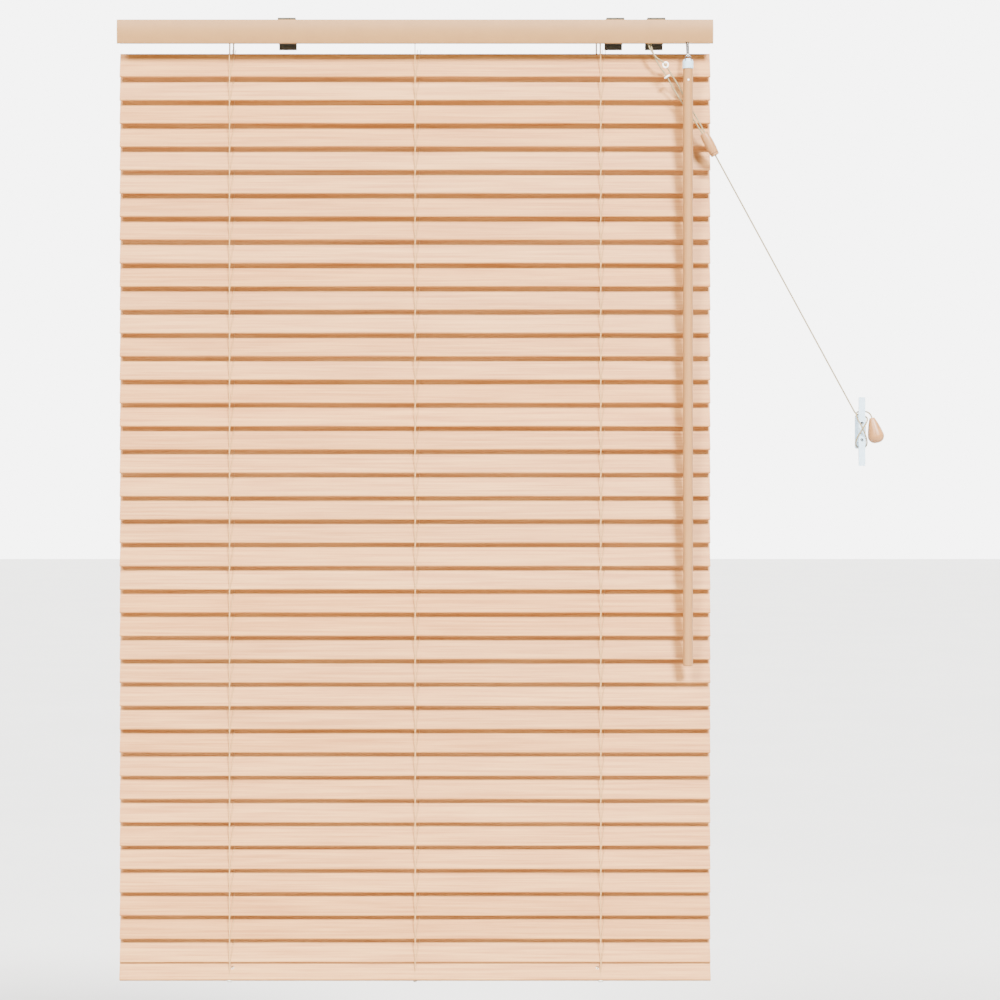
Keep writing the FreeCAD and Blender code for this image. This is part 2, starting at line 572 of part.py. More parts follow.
# ---------------------------------------------------------------- wand
def make_wand():
    """Wooden wand, the moulded cap on its top and the wire bail that joins the cap to the stem."""
    x, y = dim("tilter_place"), -dim("eye_out")
    top, radius, pivot = dim("wand_top"), dim("wand_radius"), dim("wand_pivot")
    rod = cylinder("wand_rod", row(x, y, top - dim("wand_length")), "dims.wand_radius", "dims.wand_length")
    rounded = doc.addObject("Part::Fillet", "wand")
    rounded.Base = rod
    doc.recompute()
    rims = [number for number, edge in enumerate(rod.Shape.Edges, start=1) if len(edge.Vertexes) == 1]
    rounded.Edges = [(number, 1.2, 1.2) for number in rims]
    keep("wand", rounded)
    barrel, crown = dim("wand_cap_radius"), pivot + 1.6
    outline = [
        Part.LineSegment(Vector(0, 0, top), Vector(barrel, 0, top)).toShape(),
        Part.LineSegment(Vector(barrel, 0, top), Vector(barrel, 0, crown - 4.0)).toShape(),
        Part.Arc(Vector(barrel, 0, crown - 4.0), Vector(barrel - 0.95, 0, crown - 1.2),
                 Vector(2.6, 0, crown)).toShape(),
        Part.LineSegment(Vector(2.6, 0, crown), Vector(0, 0, crown)).toShape(),
    ]
    cap = revolved(outline)
    cap.translate(row(x, y, 0))
    tongue_half, slot_width, slot_drop = 2.1, 1.4, 1.2
    hole = Part.makeCylinder(dim("wire_radius") + dim("fit_gap"), 4.4, row(x - 2.2, y, pivot), Vector(1, 0, 0))
    cap = cap.cut(hole)
    for way in (-1, 1):
        near = x + tongue_half if way > 0 else x - tongue_half - slot_width
        cap = cap.cut(Part.makeBox(slot_width, 12, 6, row(near, y - 6, pivot - slot_drop)))
    keep("wand_cap", shaped("wand_cap", cap))
    make_bail(x, y, pivot, tongue_half)


def make_bail(x, y, pivot, tongue_half):
    """A wire stirrup: its arch hangs in the stem's eye and its ends turn into the cap's tongue."""
    wire, half = dim("wire_radius"), 2.75
    eye = -dim("eye_drop")
    corner = 1.0
    inner_end = tongue_half - 1.3
    path = [
        Part.LineSegment(row(x - inner_end, y, pivot), row(x - half + corner, y, pivot)).toShape(),
        Part.Arc(row(x - half + corner, y, pivot),
                 row(x - half + corner * 0.2929, y, pivot + corner * 0.2929),
                 row(x - half, y, pivot + corner)).toShape(),
        Part.LineSegment(row(x - half, y, pivot + corner), row(x - half, y, eye - half)).toShape(),
        Part.Arc(row(x - half, y, eye - half), row(x, y, eye), row(x + half, y, eye - half)).toShape(),
        Part.LineSegment(row(x + half, y, eye - half), row(x + half, y, pivot + corner)).toShape(),
        Part.Arc(row(x + half, y, pivot + corner),
                 row(x + half - corner * 0.2929, y, pivot + corner * 0.2929),
                 row(x + half - corner, y, pivot)).toShape(),
        Part.LineSegment(row(x + half - corner, y, pivot), row(x + inner_end, y, pivot)).toShape(),
    ]
    ring = Part.Wire([Part.makeCircle(wire, row(x - inner_end, y, pivot), Vector(1, 0, 0))])
    keep("wand_bail", shaped("wand_bail", Part.Wire(path).makePipeShell([ring], True, False)))


# ---------------------------------------------------------------- free cords, joiner, tassel, cleat
JOINER_TOP = Vector(290.2, -18.5, -91.0)
JOINER_WAY = Vector(0.4695, 0, -0.8829)
JOINER_SIDE = Vector(0.8829, 0, 0.4695)
CLEAT = Vector(dim("cleat_place"), WALL, -dim("cleat_drop"))
TASSEL_TOP = CLEAT + Vector(9.6, -14.0, 13.9)
TASSEL_WAY = Vector(0.2233, 0, -0.9748)


def make_pull_cords():
    """The two strands from the lock to the joiner, and the single cord on to the cleat and tassel."""
    radius = dim("cord_radius")
    left_end = JOINER_TOP + JOINER_SIDE * 1.2
    right_end = JOINER_TOP - JOINER_SIDE * 1.2
    start_left, start_right = STRAND_STARTS
    upper = [
        (start_left, LOCK_CORD_Y, LOCK_MOUTH), (235.6, -13.2, -3.5), (239.4, -15.5, -10.0),
        (243.6, -15.6, -15.2), (248.4, -15.4, -17.6), (252.1, -15.2, -21.6), (258.8, -14.4, -32.2),
        (264.2, -14.2, -40.5), (271.5, -14.2, -54.0), (279.5, -14.8, -68.5), (285.9, -17.2, -79.6),
        tuple(left_end)]
    lower = [
        (start_right, LOCK_CORD_Y, LOCK_MOUTH), (237.9, -12.4, -3.5), (240.3, -13.7, -10.8),
        (244.9, -14.5, -21.0), (250.2, -14.9, -28.4), (253.8, -14.9, -33.4), (256.8, -14.4, -39.6),
        (261.3, -14.2, -47.4), (268.8, -14.2, -59.0), (276.9, -14.5, -71.4), (283.2, -17.0, -81.4),
        tuple(right_end)]
    joiner_end = JOINER_TOP + JOINER_WAY * dim("joiner_length")
    windings = [
        (-4.9, -6.2, 17.0), (4.5, -5.6, 16.2), (6.6, -10.4, 12.2), (0.6, -16.4, 3.4), (-6.6, -12.2, -8.6),
        (-4.9, -5.8, -16.4), (4.9, -5.8, -16.6), (5.8, -11.6, -9.4), (-0.6, -18.2, 4.4), (-6.0, -12.8, 14.6),
        (-4.8, -6.9, 20.6), (4.0, -6.4, 21.2), (8.7, -13.9, 17.9)]
    single = [tuple(joiner_end)] + [tuple(CLEAT + Vector(*point)) for point in windings] + [tuple(TASSEL_TOP)]
    cords = [tube("strand_left", upper, radius), tube("strand_right", lower, radius),
             tube("pull_cord_single", single, radius)]
    keep("pull_cord", group("pull_cord", cords))


def make_joiner():
    radius, length = dim("joiner_radius"), dim("joiner_length")
    waist = radius - 0.7
    outline = [
        Part.LineSegment(Vector(0, 0, 0), Vector(waist - 0.8, 0, 0)).toShape(),
        Part.Arc(Vector(waist - 0.8, 0, 0), Vector(waist - 0.1, 0, 0.5), Vector(waist, 0, 1.4)).toShape(),
        Part.Arc(Vector(waist, 0, 1.4), Vector(radius, 0, length / 2), Vector(waist, 0, length - 1.4)).toShape(),
        Part.Arc(Vector(waist, 0, length - 1.4), Vector(waist - 0.1, 0, length - 0.5),
                 Vector(waist - 0.8, 0, length)).toShape(),
        Part.LineSegment(Vector(waist - 0.8, 0, length), Vector(0, 0, length)).toShape(),
    ]
    joiner = shaped("cord_joiner", revolved(outline))
    joiner.Placement = turned_to(JOINER_WAY, row(*JOINER_TOP))
    keep("cord_joiner", joiner)


def make_tassel():
    """A turned wooden pear."""
    radius, length, crown = dim("tassel_radius"), dim("tassel_length"), 2.9
    widest = 0.68 * length
    outline = [
        Part.LineSegment(Vector(0, 0, 0), Vector(crown - 0.7, 0, 0)).toShape(),
        Part.Arc(Vector(crown - 0.7, 0, 0), Vector(crown - 0.2, 0, 0.3), Vector(crown, 0, 1.0)).toShape(),
        Part.Arc(Vector(crown, 0, 1.0), Vector(6.1, 0, 0.38 * length), Vector(radius, 0, widest)).toShape(),
        Part.Arc(Vector(radius, 0, widest), Vector(6.2, 0, 0.92 * length), Vector(1.4, 0, length)).toShape(),
        Part.LineSegment(Vector(1.4, 0, length), Vector(0, 0, length)).toShape(),
    ]
    tassel = shaped("tassel", revolved(outline))
    tassel.Placement = turned_to(TASSEL_WAY, row(*TASSEL_TOP))
    keep("tassel", tassel)


def make_cleat():
    """A moulded cleat: a base on the wall, a post, and a bar whose two horns stand off the wall."""
    centre = row(*CLEAT)
    length, width = dim("cleat_length"), dim("cleat_width")
    base_width, base_length, base_thick = dim("cleat_base_width"), dim("cleat_base_length"), 2.4
    base = Part.makeBox(base_width, base_thick, base_length,
                        centre + Vector(-base_width / 2, -base_thick, -base_length / 2))
    base = base.makeFillet(2.0, [edge for edge in base.Edges if abs(edge.tangentAt(0).y) > 0.9])
    post_half, bar_back, bar_front = 14.3, 8.6, 12.6
    post = Part.makeBox(width, bar_back, 2 * post_half, centre + Vector(-width / 2, -bar_back, -post_half))
    half = length / 2
    side = [Vector(0, -bar_back, -post_half), Vector(0, -bar_back - 1.6, -half + 1.0),
            Vector(0, -bar_back - 2.6, -half), Vector(0, -bar_front - 0.6, -half),
            Vector(0, -bar_front - 0.4, -half + 1.5), Vector(0, -bar_front, -post_half + 4),
            Vector(0, -bar_front, post_half - 4), Vector(0, -bar_front - 0.4, half - 1.5),
            Vector(0, -bar_front - 0.6, half), Vector(0, -bar_back - 2.6, half),
            Vector(0, -bar_back - 1.6, half - 1.0), Vector(0, -bar_back, post_half)]
    bar = Part.Face(Part.makePolygon(side + side[:1])).extrude(Vector(width, 0, 0))
    bar.translate(centre - Vector(width / 2, 0, 0))
    solid = base.fuse([post, bar]).removeSplitter()
    for way in (-1, 1):
        place = centre + Vector(0, 1, way * dim("cleat_screw_step") / 2)
        solid = solid.cut(Part.makeCylinder(dim("cleat_screw_radius"), 20, place, Vector(0, -1, 0)))
    keep("cleat", shaped("cleat", solid))


make_bottom_rail()
make_head_rail()
make_end_caps()
make_brackets()
make_rod()
make_worm()
make_tilter_housing()
make_drums_and_cradles()
make_cord_lock()
make_lift_cords()
make_strings()
make_wand()
make_pull_cords()
make_joiner()
make_tassel()
make_cleat()
doc.recompute()

os.makedirs("parts", exist_ok=True)
for obj in doc.Objects:
    if "Invalid" in obj.State or "Error" in obj.State:
        raise RuntimeError(f"{obj.Label} failed: {obj.State}")
for obj in SUBPARTS:
    shape = obj.Shape
    if shape.isNull() or not shape.isValid() or not shape.Solids:
        raise RuntimeError(f"{obj.Label} has no valid shape")
for obj in SUBPARTS:
    obj.Shape.exportStep(f"parts/{obj.Label}.step")
print(len(SUBPARTS), "sub-parts written")
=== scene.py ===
"""Scene for the venetian blind: materials, cords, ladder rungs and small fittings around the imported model.

Row frame, metres: X along the head rail from its middle, -Y into the room, Z = 0 at the brackets' tops.
Sizes and places of pieces are in millimetres and go through row() or MM. The camera, the lights and the
floor are in metres.
"""
import math
import random
import bpy
from mathutils import Matrix, Vector


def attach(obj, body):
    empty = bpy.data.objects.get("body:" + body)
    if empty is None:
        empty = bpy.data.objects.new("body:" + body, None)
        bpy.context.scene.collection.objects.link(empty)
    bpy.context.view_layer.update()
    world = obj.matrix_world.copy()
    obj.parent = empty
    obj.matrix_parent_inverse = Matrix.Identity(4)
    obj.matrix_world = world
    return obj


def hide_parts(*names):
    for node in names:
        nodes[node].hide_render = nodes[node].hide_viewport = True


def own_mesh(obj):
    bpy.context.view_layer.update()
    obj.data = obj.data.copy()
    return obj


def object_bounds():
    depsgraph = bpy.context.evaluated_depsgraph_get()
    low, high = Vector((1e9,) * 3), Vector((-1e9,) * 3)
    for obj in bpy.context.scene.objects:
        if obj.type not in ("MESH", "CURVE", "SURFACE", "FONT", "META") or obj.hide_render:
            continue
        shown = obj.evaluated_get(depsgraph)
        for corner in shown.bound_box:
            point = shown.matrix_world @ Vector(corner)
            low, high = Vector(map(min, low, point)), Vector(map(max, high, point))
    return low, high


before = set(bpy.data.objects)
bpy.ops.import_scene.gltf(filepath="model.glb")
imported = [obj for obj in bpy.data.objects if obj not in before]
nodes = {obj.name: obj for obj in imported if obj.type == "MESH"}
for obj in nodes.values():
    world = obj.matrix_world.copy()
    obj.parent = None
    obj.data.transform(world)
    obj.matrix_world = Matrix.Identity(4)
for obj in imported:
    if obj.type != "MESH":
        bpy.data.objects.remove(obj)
cad_box = [list(corner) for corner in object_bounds()]

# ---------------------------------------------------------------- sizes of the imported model
MM = 0.001
ROOT = "head_rail"
WALL = 18.2                      # from the slats' middle plane to the wall
TOP = 26.6                       # from the rail's lower edge to the brackets' tops
TILT = math.radians(72.0)        # a closed slat, from level
LADDERS = (-187.5, 0.0, 187.5)
SLAT_COUNT = 39
FIRST_SLAT, PITCH = -19.8, 23.54
LAST_PITCH = 18.8                # from the last slat's middle to the bottom rail's
BASE_AXIS = FIRST_SLAT - PITCH * (SLAT_COUNT - 1) - LAST_PITCH
SLAT_HALF, SLAT_HALF_THICK = 13.0, 1.25
BASE_HALF, BASE_THICK = 12.5, 8.0
STRING_OFFSET, STRING_RADIUS = 17.7, 0.4
STRING_TOP = 4.4                 # the rear strings' tops at rest
TRAVEL = 2 * STRING_OFFSET * math.sin(TILT)
ACROSS = Vector((0, math.cos(TILT), math.sin(TILT)))        # from a closed slat's lower edge to its upper one
SQUARE_ON = Vector((0, -math.sin(TILT), math.cos(TILT)))    # out of the face that the room sees
CORD_RADIUS = 0.75


def row(x, y, z):
    """A point given in millimetres from the slats' plane and the rail's lower edge, in the row frame."""
    return Vector((x * MM, (y - WALL) * MM, (z - TOP) * MM))


# ---------------------------------------------------------------- camera
CAMERA_DISTANCE, CAMERA_HEIGHT = 2.65, -0.486
VIEW_WIDTH = 1.012               # across the slats' plane
SIDE_SHIFT = 0.085               # a share of the view's width, because the cleat stands right of the blind
SENSOR = 36.0                    # the lens and the sensor are in millimetres, as Blender takes them
FAR_CLIP = 50
camera_data = bpy.data.cameras.new("camera")
camera_data.sensor_width = SENSOR
camera_data.lens = SENSOR * CAMERA_DISTANCE / VIEW_WIDTH
camera_data.shift_x = SIDE_SHIFT
camera_data.clip_end = FAR_CLIP
camera = bpy.data.objects.new("camera", camera_data)
camera.location = (0, -WALL * MM - CAMERA_DISTANCE, CAMERA_HEIGHT)
camera.rotation_euler = (math.pi / 2, 0, 0)
bpy.context.scene.collection.objects.link(camera)
bpy.context.scene.camera = camera

# ---------------------------------------------------------------- lights and world
SUN_COLOUR = (1.0, 0.985, 0.96)
SUN_SOFTNESS = 14                # degrees across
SUN_AWAY = 4                     # where a sun lamp stands doesn't change its light
GLOW_START, GLOW_END = 0.1, 0.8  # how far a direction points at the wall, from 0 for not at all to 1
ROOM_GLOW, BACKDROP_GLOW = 0.09, 6.5


def sun_light(name, azimuth, elevation, strength):
    """A distant soft light from the room side; azimuth is to the right of straight ahead, in degrees."""
    data = bpy.data.lights.new(name, "SUN")
    data.energy, data.angle, data.color = strength, math.radians(SUN_SOFTNESS), SUN_COLOUR
    lamp = bpy.data.objects.new(name, data)
    turn, rise = math.radians(azimuth), math.radians(elevation)
    place = Vector((math.sin(turn) * math.cos(rise), -math.cos(turn) * math.cos(rise), math.sin(rise)))
    lamp.location = place * SUN_AWAY
    lamp.rotation_euler = place.to_track_quat("Z", "Y").to_euler()
    bpy.context.scene.collection.objects.link(lamp)


def area_light(name, place, target, size, power):
    """A square lamp at place, aimed at target."""
    data = bpy.data.lights.new(name, "AREA")
    data.size, data.energy = size, power
    lamp = bpy.data.objects.new(name, data)
    lamp.location = place
    lamp.rotation_euler = (Vector(target) - Vector(place)).to_track_quat("-Z", "Y").to_euler()
    bpy.context.scene.collection.objects.link(lamp)


def studio_world():
    """White all round, dim on the room side and bright behind the blind, where a lit backdrop would stand."""
    made = bpy.data.worlds.new("studio")
    made.use_nodes = True
    tree = made.node_tree
    background = tree.nodes["Background"]
    background.inputs["Color"].default_value = (1.0, 1.0, 1.0, 1)
    place = tree.nodes.new("ShaderNodeTexCoord")
    parts = tree.nodes.new("ShaderNodeSeparateXYZ")
    spread = tree.nodes.new("ShaderNodeMapRange")
    spread.inputs["From Min"].default_value = GLOW_START
    spread.inputs["From Max"].default_value = GLOW_END
    spread.inputs["To Min"].default_value = ROOM_GLOW
    spread.inputs["To Max"].default_value = BACKDROP_GLOW
    tree.links.new(place.outputs["Generated"], parts.inputs["Vector"])
    tree.links.new(parts.outputs["Y"], spread.inputs["Value"])
    tree.links.new(spread.outputs["Result"], background.inputs["Strength"])
    bpy.context.scene.world = made


sun_light("key", azimuth=22, elevation=40, strength=15.5)
sun_light("second", azimuth=-30, elevation=38, strength=8.0)
area_light("back", place=(0.4, 2.2, 1.0), target=(0.0, 0, -0.5), size=2.0, power=22)
studio_world()

# ---------------------------------------------------------------- materials
TONE_LOW, TONE_HIGH = 0.35, 0.65     # the noise values where the dark tone ends and the light one starts
TONE_DETAIL, TONE_ROUGHNESS = 6.0, 0.62
BUMP_DETAIL = 3.0
BUMP_HEIGHT = 0.4 * MM


def linear(red, green, blue):
    """A colour given as 0 to 255 screen values, as linear light."""
    def one(value):
        share = value / 255
        return share / 12.92 if share <= 0.04045 else ((share + 0.055) / 1.055) ** 2.4
    return (one(red), one(green), one(blue), 1)


def surface(name, light, dark, stretch, roughness, metallic=0.0, bump=0.02, bump_stretch=None, shift=0.0,
            transmission=0.0, specular=0.4):
    """A material whose colour varies between two tones with stretched noise, with a fine bump."""
    made = bpy.data.materials.new(name)
    made.use_nodes = True
    tree = made.node_tree
    shader = tree.nodes["Principled BSDF"]
    place = tree.nodes.new("ShaderNodeTexCoord")
    mapping = tree.nodes.new("ShaderNodeMapping")
    mapping.inputs["Scale"].default_value = stretch
    mapping.inputs["Location"].default_value = (shift, shift * 0.7, shift * 1.3)
    noise = tree.nodes.new("ShaderNodeTexNoise")
    noise.inputs["Scale"].default_value = 1.0
    noise.inputs["Detail"].default_value = TONE_DETAIL
    noise.inputs["Roughness"].default_value = TONE_ROUGHNESS
    ramp = tree.nodes.new("ShaderNodeValToRGB")
    first, last = ramp.color_ramp.elements
    first.position, last.position = TONE_LOW, TONE_HIGH
    first.color, last.color = dark, light
    fine_mapping = tree.nodes.new("ShaderNodeMapping")
    fine_mapping.inputs["Scale"].default_value = bump_stretch or stretch
    fine = tree.nodes.new("ShaderNodeTexNoise")
    fine.inputs["Scale"].default_value = 1.0
    fine.inputs["Detail"].default_value = BUMP_DETAIL
    relief = tree.nodes.new("ShaderNodeBump")
    relief.inputs["Strength"].default_value = bump
    relief.inputs["Distance"].default_value = BUMP_HEIGHT
    link = tree.links.new
    link(place.outputs["Object"], mapping.inputs["Vector"])
    link(mapping.outputs["Vector"], noise.inputs["Vector"])
    link(noise.outputs["Fac"], ramp.inputs["Fac"])
    link(ramp.outputs["Color"], shader.inputs["Base Color"])
    link(place.outputs["Object"], fine_mapping.inputs["Vector"])
    link(fine_mapping.outputs["Vector"], fine.inputs["Vector"])
    link(fine.outputs["Fac"], relief.inputs["Height"])
    link(relief.outputs["Normal"], shader.inputs["Normal"])
    shader.inputs["Roughness"].default_value = roughness
    shader.inputs["Metallic"].default_value = metallic
    shader.inputs["Specular IOR Level"].default_value = specular
    shader.inputs["Transmission Weight"].default_value = transmission
    return made


# Each slat takes one of these woods. They differ a little in tone, and their grain starts in another place.
WOOD_TINTS = ((0, 0, 0), (-5, -6, -7), (3, 1, -1), (-2, -4, -7), (2, 3, 4), (-4, -3, -2))
PALEST_WOOD = 4
GRAIN_SHIFT = 3.7
slat_woods = []
for number, (red, green, blue) in enumerate(WOOD_TINTS):
    slat_woods.append(surface(
        f"slat_wood_{number}",
        linear(184 + red, 133 + green, 78 + blue), linear(158 + red, 104 + green, 55 + blue),
        (9, 260, 420), 0.5, bump=0.25, bump_stretch=(30, 900, 1500), shift=GRAIN_SHIFT * number,
        specular=0.3))
wand_wood = surface(
    "wand_wood", linear(150, 107, 62), linear(142, 99, 56), (500, 500, 9), 0.42, bump=0.1)
turned_wood = surface(
    "turned_wood", linear(158, 112, 68), linear(148, 102, 60), (420, 420, 30), 0.4, bump=0.1)
rail_paint = surface(
    "rail_paint", linear(143, 103, 56), linear(139, 100, 54), (60, 60, 60), 0.5, bump=0.05,
    bump_stretch=(900, 900, 900))
cap_plastic = surface(
    "cap_plastic", linear(144, 107, 63), linear(140, 104, 61), (80, 80, 80), 0.55, bump=0.05)
bracket_steel = surface(
    "bracket_steel", linear(58, 52, 33), linear(40, 35, 21), (300, 300, 120), 0.6, metallic=0.2, bump=0.08)
white_plastic = surface(
    "white_plastic", linear(236, 234, 228), linear(226, 223, 216), (90, 90, 90), 0.45)
grey_plastic = surface(
    "grey_plastic", linear(190, 188, 182), linear(178, 176, 170), (90, 90, 90), 0.5)
nickel = surface(
    "nickel", linear(214, 216, 214), linear(188, 192, 192), (200, 200, 200), 0.2, metallic=1.0, bump=0.03)
rod_steel = surface(
    "rod_steel", linear(196, 196, 192), linear(170, 170, 168), (20, 400, 400), 0.35, metallic=1.0, bump=0.05)
brass_roller = surface(
    "brass_roller", linear(200, 168, 96), linear(178, 144, 76), (300, 900, 900), 0.35, metallic=1.0, bump=0.2)
cord_fibre = surface(
    "cord_fibre", linear(150, 134, 98), linear(112, 98, 68), (1500, 1500, 900), 0.8, bump=0.6)
thread = surface(
    "thread", linear(190, 152, 100), linear(164, 126, 78), (1500, 1500, 700), 0.85, bump=0.5)
clear_plastic = surface(
    "clear_plastic", linear(196, 220, 236), linear(186, 212, 230), (60, 60, 60), 0.3, bump=0.0,
    transmission=0.2, specular=0.5)
ring_plastic = surface(
    "ring_plastic", linear(246, 246, 242), linear(236, 236, 230), (200, 200, 200), 0.35)
plug_plastic = surface(
    "plug_plastic", linear(196, 196, 190), linear(180, 180, 172), (200, 200, 200), 0.5)
dark_plug = surface(
    "dark_plug", linear(132, 122, 108), linear(112, 102, 88), (200, 200, 200), 0.5)
dark_brown = surface(
    "dark_brown", linear(92, 58, 36), linear(74, 44, 26), (200, 200, 200), 0.6)
floor_paint = surface(
    "floor_paint", linear(200, 200, 199), linear(196, 196, 195), (2, 2, 2), 0.8)


def wear(name, material):
    """Gives a carried-over node one material."""
    data = nodes[name].data
    data.materials.clear()
    data.materials.append(material)


slat_names = [f"slat_{number + 1:02d}" for number in range(SLAT_COUNT)]
draw = random.Random(11)
for name in slat_names:
    wear(name, draw.choice(slat_woods))
for name, material in {
        "head_rail": rail_paint, "end_caps": cap_plastic, "mounting_brackets": bracket_steel,
        "tilter_housing": white_plastic, "tilter_worm": nickel, "tilt_rod": rod_steel,
        "ladder_drums": white_plastic, "ladder_cradles": white_plastic, "cord_lock_body": grey_plastic,
        "cord_lock_roller": brass_roller, "lift_cords": cord_fibre, "ladder_front_strings": thread,
        "ladder_rear_strings": thread, "bottom_rail": slat_woods[PALEST_WOOD], "wand": wand_wood,
        "wand_cap": clear_plastic, "wand_bail": nickel, "cord_joiner": turned_wood, "tassel": turned_wood,
        "cleat": clear_plastic}.items():
    wear(name, material)


# ---------------------------------------------------------------- helpers for new pieces
def standing(place, direction):
    """The transform that stands a piece's own Z along direction at place."""
    turn = Vector(direction).to_track_quat("Z", "Y").to_matrix().to_4x4()
    return Matrix.Translation(place) @ turn


def line_piece(name, routes, radius, material, nurbs=True):
    """A curve piece: one round line for each route of points in metres; radius is in millimetres."""
    data = bpy.data.curves.new(name, "CURVE")
    data.dimensions = "3D"
    data.bevel_depth = radius * MM
    data.bevel_resolution = 3
    data.resolution_u = 8
    data.use_fill_caps = True
    for route in routes:
        spline = data.splines.new("NURBS" if nurbs else "POLY")
        spline.points.add(len(route) - 1)
        for point, place in zip(spline.points, route):
            point.co = (*place, 1)
        if nurbs:
            spline.order_u = 3
            spline.use_endpoint_u = True
    piece = bpy.data.objects.new(name, data)
    data.materials.append(material)
    bpy.context.scene.collection.objects.link(piece)
    return piece


def lathe(name, outline, material, place, direction, steps=32):
    """A turned piece: outline is (radius, height) pairs in millimetres, standing along direction at place."""
    verts, faces = [], []
    for radius, height in outline:
        for step in range(steps):
            angle = 2 * math.pi * step / steps
            verts.append((radius * MM * math.cos(angle), radius * MM * math.sin(angle), height * MM))
    for level in range(len(outline) - 1):
        near, far = level * steps, (level + 1) * steps
        for step in range(steps):
            after = (step + 1) % steps
            faces.append((near + step, near + after, far + after, far + step))
    faces.append(tuple(reversed(range(steps))))
    faces.append(tuple(range(len(verts) - steps, len(verts))))
    data = bpy.data.meshes.new(name)
    data.from_pydata(verts, [], faces)
    data.polygons.foreach_set("use_smooth", [len(face) == 4 for face in faces])
    data.materials.append(material)
    piece = bpy.data.objects.new(name, data)
    data.transform(standing(place, direction))
    bpy.context.scene.collection.objects.link(piece)
    return piece


def button(name, material, place, direction, radius, height, bevel):
    """A short round piece with bevelled rims."""
    corner = bevel * 0.3
    outline = [(radius - bevel, 0), (radius - corner, corner), (radius, bevel),
               (radius, height - bevel), (radius - corner, height - corner), (radius - bevel, height)]
    return lathe(name, outline, material, place, direction)


def ring(name, material, place, direction, major, minor):
    """A round ring, with its hole along direction."""
    bpy.ops.mesh.primitive_torus_add(major_segments=40, minor_segments=12, major_radius=major * MM,
                                     minor_radius=minor * MM)
    piece = bpy.context.object
    piece.name = name
    piece.data.transform(standing(place, direction))
    piece.data.polygons.foreach_set("use_smooth", [True] * len(piece.data.polygons))
    piece.data.materials.append(material)
    return piece


# ---------------------------------------------------------------- pull cords
JOINER_TOP = Vector((290.2, -18.5, -91.0))
JOINER_WAY = Vector((0.4695, 0, -0.8829))
JOINER_SIDE = Vector((0.8829, 0, 0.4695))
JOINER_LENGTH = 25.0
STRAND_APART = 1.2               # each strand's end, from the joiner's middle line
CLEAT = Vector((453.4, WALL, -390.0))
TASSEL_TOP = CLEAT + Vector((9.6, -14.0, 13.9))
STRAND_LEFT = [
    (234.5, -11.6, 3.0), (235.6, -13.2, -3.5), (239.4, -15.5, -10.0), (243.6, -15.6, -15.2),
    (248.4, -15.4, -17.6), (252.1, -15.2, -21.6), (258.8, -14.4, -32.2), (264.2, -14.2, -40.5),
    (271.5, -14.2, -54.0), (279.5, -14.8, -68.5), (285.9, -17.2, -79.6),
    JOINER_TOP + JOINER_SIDE * STRAND_APART]
STRAND_RIGHT = [
    (237.2, -11.6, 3.0), (237.9, -12.4, -3.5), (240.3, -13.7, -10.8), (244.9, -14.5, -21.0),
    (250.2, -14.9, -28.4), (253.8, -14.9, -33.4), (256.8, -14.4, -39.6), (261.3, -14.2, -47.4),
    (268.8, -14.2, -59.0), (276.9, -14.5, -71.4), (283.2, -17.0, -81.4),
    JOINER_TOP - JOINER_SIDE * STRAND_APART]
RING_POINT = 5                   # the point of each strand that passes through its ring
RING_SIZE = {"major": 2.6, "minor": 0.85}
# The cord's turns on the cleat, from the cleat's middle at the wall.
WINDINGS = [
    (-4.9, -6.2, 17.0), (4.5, -5.6, 16.2), (6.6, -10.4, 12.2), (0.6, -16.4, 3.4), (-6.6, -12.2, -8.6),
    (-4.9, -5.8, -16.4), (4.9, -5.8, -16.6), (5.8, -11.6, -9.4), (-0.6, -18.2, 4.4), (-6.0, -12.8, 14.6),
    (-4.8, -6.9, 20.6), (4.0, -6.4, 21.2), (8.7, -13.9, 17.9)]
# A point this far before the first turn keeps the long straight run straight.
BEFORE_CLEAT = 9.0


def pull_cords():
    """The two strands from the lock to the joiner, their rings, and the single cord to the tassel."""
    joiner_end = JOINER_TOP + JOINER_WAY * JOINER_LENGTH
    first_turn = CLEAT + Vector(WINDINGS[0])
    straight = (joiner_end - first_turn).normalized()
    single = [joiner_end, first_turn + straight * BEFORE_CLEAT]
    single += [CLEAT + Vector(point) for point in WINDINGS] + [TASSEL_TOP]
    left_at, right_at = row(*STRAND_LEFT[RING_POINT]), row(*STRAND_RIGHT[RING_POINT])
    left_stop = ring("ring_left", ring_plastic, left_at, (0.15, 1, 0.1), **RING_SIZE)
    right_stop = ring("ring_right", ring_plastic, right_at, (0.52, 0, -0.86), **RING_SIZE)
    # Name, route, length in metres, lay, and the pieces on the cord.
    plans = (
        ("strand_left", STRAND_LEFT, 0.1115, "hanging", [left_stop, nodes["cord_joiner"]]),
        ("strand_right", STRAND_RIGHT, 0.1092, "hanging", [right_stop]),
        ("pull_cord_single", single, 0.4228, "taut", [nodes["tassel"]]))
    for name, route, length, lay, on_it in plans:
        points = [row(*point) for point in route]
        piece = line_piece(name, [points], CORD_RADIUS, cord_fibre)
        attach(piece, ROOT)
        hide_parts("pull_cord")
    for stop in (left_stop, right_stop):
        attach(stop, ROOT)


# ---------------------------------------------------------------- ladders
RUNG_RADIUS = 0.28
RUNG_GAP = 0.05                  # between a rung and the slat's face
OVER_SLANT = 6.0                 # how far a rung over a slat runs along it on its way across
UNDER_SLANT = 0.4 * OVER_SLANT
EDGE_OUT, EDGE_IN = 0.5, 1.0     # where a rung bends, outside and inside the slat's edge
EDGE_LIFT = 0.6                  # a rung's height at the edge, as a share of its full height


